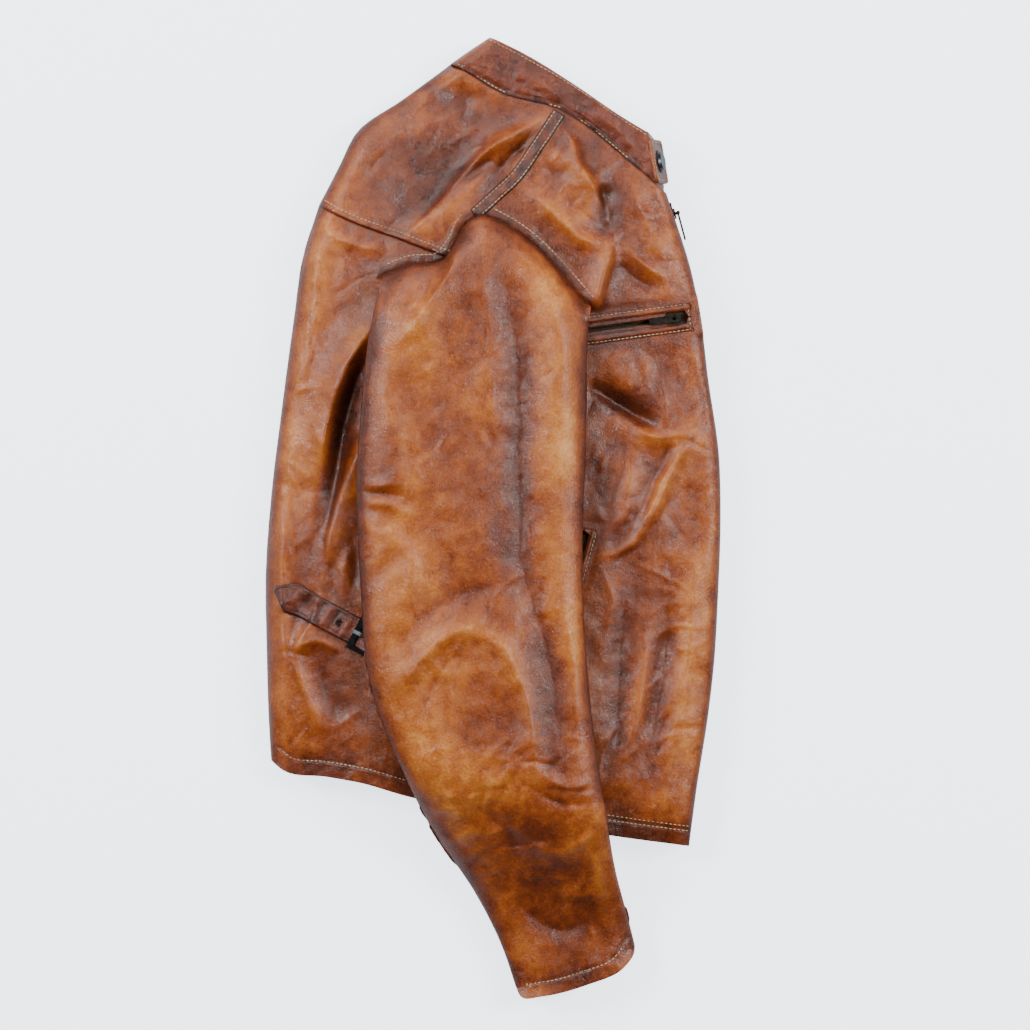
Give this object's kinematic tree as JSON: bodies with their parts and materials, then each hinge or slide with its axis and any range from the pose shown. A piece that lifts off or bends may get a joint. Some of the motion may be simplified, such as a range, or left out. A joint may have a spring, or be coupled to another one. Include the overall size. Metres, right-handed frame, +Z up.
{
  "type": "leather riding jacket",
  "caption": "Hip-length riding jacket in burnished tan leather, folded lengthwise and lying on its side, with a stand collar, snap tab, zipped pockets and buckled waist straps.",
  "frame": {"origin": "middle of the underside of the folded jacket, on the surface it lies on", "axes": "+X from the folded back to the front zip, +Y from the hem to the collar, +Z up from the surface"},
  "size_m": [0.39, 0.8236, 0.09],
  "materials": {
    "tan_leather": "burnished semi-gloss",
    "lining_cloth": "satin",
    "zip_tape": "woven",
    "black_enamel": "semi-gloss",
    "gunmetal": "satin",
    "antique_brass": "darkened"
  },
  "bodies": {
    "jacket": {"back_panel": "tan_leather", "back_yoke": "tan_leather", "body_lining": "lining_cloth", "chest_pocket_bag": "lining_cloth", "chest_pocket_tape": "zip_tape", "chest_pocket_teeth": "antique_brass", "chest_pocket_welt": "tan_leather", "collar_inner": "tan_leather", "collar_outer": "tan_leather", "front_panel_left": "tan_leather", "front_panel_right": "tan_leather", "front_zip_box": "antique_brass", "front_zip_pin": "antique_brass", "front_zip_tape_left": "zip_tape", "front_zip_tape_right": "zip_tape", "front_zip_teeth_left": "antique_brass", "front_zip_teeth_right": "antique_brass", "front_zip_top_stops": "antique_brass", "hand_pocket_left_bag": "lining_cloth", "hand_pocket_left_tape": "zip_tape", "hand_pocket_left_teeth": "antique_brass", "hand_pocket_left_welt": "tan_leather", "hand_pocket_right_bag": "lining_cloth", "hand_pocket_right_tape": "zip_tape", "hand_pocket_right_teeth": "antique_brass", "hand_pocket_right_welt": "tan_leather", "hanger_loop": "lining_cloth", "hem_facing": "tan_leather", "left_cuff_facing": "tan_leather", "left_sleeve_lining": "lining_cloth", "left_sleeve_top": "tan_leather", "left_sleeve_under": "tan_leather", "right_cuff_facing": "tan_leather", "right_sleeve_lining": "lining_cloth", "right_sleeve_top": "tan_leather", "right_sleeve_under": "tan_leather", "shoulder_strip_left": "tan_leather", "shoulder_strip_right": "tan_leather", "snap_stud": "gunmetal", "waist_buckle_loop_left": "tan_leather", "waist_buckle_loop_right": "tan_leather", "waist_eyelet_left": "gunmetal", "waist_eyelet_right": "gunmetal", "waist_strap_left": "tan_leather", "waist_strap_right": "tan_leather"},
    "collar_flap": {"collar_tab": "tan_leather", "snap_cap": "gunmetal", "snap_socket": "gunmetal"},
    "front_slider": {"front_zip_slider": "antique_brass"},
    "front_puller": {"front_zip_puller": "antique_brass"},
    "chest_slider": {"chest_pocket_slider": "antique_brass"},
    "chest_puller": {"chest_pocket_puller": "antique_brass"},
    "right_hand_slider": {"hand_pocket_right_slider": "antique_brass"},
    "right_hand_puller": {"hand_pocket_right_puller": "antique_brass"},
    "left_hand_slider": {"hand_pocket_left_slider": "antique_brass", "hand_pocket_left_puller": "antique_brass"},
    "right_buckle": {"waist_buckle_right": "black_enamel"},
    "right_prong": {"waist_prong_right": "gunmetal"},
    "left_buckle": {"waist_buckle_left": "black_enamel"},
    "left_prong": {"waist_prong_left": "gunmetal"}
  },
  "joints": [
    {"name": "front_zip_run", "type": "hinge", "parent": "jacket", "child": "front_slider", "pos_m": [-0.9, -0.025, 0.026], "axis": [0, 0, -1], "range_deg": [0, 26.54]},
    {"name": "front_puller_swing", "type": "hinge", "parent": "front_slider", "child": "front_puller", "pos_m": [0.15832, 0.26147, 0.026], "axis": [0, 0, 1], "range_deg": [0, 150]},
    {"name": "chest_zip_run", "type": "slide", "parent": "jacket", "child": "chest_slider", "axis": [0.9879, 0.1388, -0.0695], "range_m": [-0.11, 0]},
    {"name": "chest_puller_swing", "type": "hinge", "parent": "chest_slider", "child": "chest_puller", "pos_m": [0.15648, 0.17015, 0.04521], "axis": [-0.1389, 0.9903, 0.0041], "range_deg": [0, 150]},
    {"name": "right_hand_zip_run", "type": "slide", "parent": "jacket", "child": "right_hand_slider", "axis": [0.2756, 0.9611, -0.0165], "range_m": [-0.132, 0]},
    {"name": "right_hand_puller_swing", "type": "hinge", "parent": "right_hand_slider", "child": "right_hand_puller", "pos_m": [0.07432, -0.02057, 0.05131], "axis": [-0.9592, 0.2761, 0.0611], "range_deg": [0, 20]},
    {"name": "left_hand_zip_run", "type": "slide", "parent": "jacket", "child": "left_hand_slider", "axis": [0.2756, 0.9613, 0], "range_m": [-0.132, 0]},
    {"name": "right_buckle_pivot", "type": "hinge", "parent": "jacket", "child": "right_buckle", "pos_m": [-0.10165, -0.1044, 0.0518], "axis": [0.4621, 0.886, 0.0379], "range_deg": [0, 20]},
    {"name": "right_prong_pivot", "type": "hinge", "parent": "right_buckle", "child": "right_prong", "pos_m": [-0.10165, -0.1044, 0.0518], "axis": [0.4621, 0.886, 0.0379], "range_deg": [0, 20]},
    {"name": "left_buckle_pivot", "type": "hinge", "parent": "jacket", "child": "left_buckle", "pos_m": [-0.10118, -0.10438, 0.01277], "axis": [-0.4624, -0.8858, -0.0386], "range_deg": [0, 20]},
    {"name": "left_prong_pivot", "type": "hinge", "parent": "left_buckle", "child": "left_prong", "pos_m": [-0.10118, -0.10438, 0.01277], "axis": [-0.4624, -0.8858, -0.0386], "range_deg": [0, 20]},
    {"name": "collar_tab_fold", "type": "hinge", "parent": "jacket", "child": "collar_flap", "pos_m": [0.14659, 0.3062, 0.01064], "axis": [-0.1694, 0.9855, 0], "range_deg": [0, 110]}
  ]
}
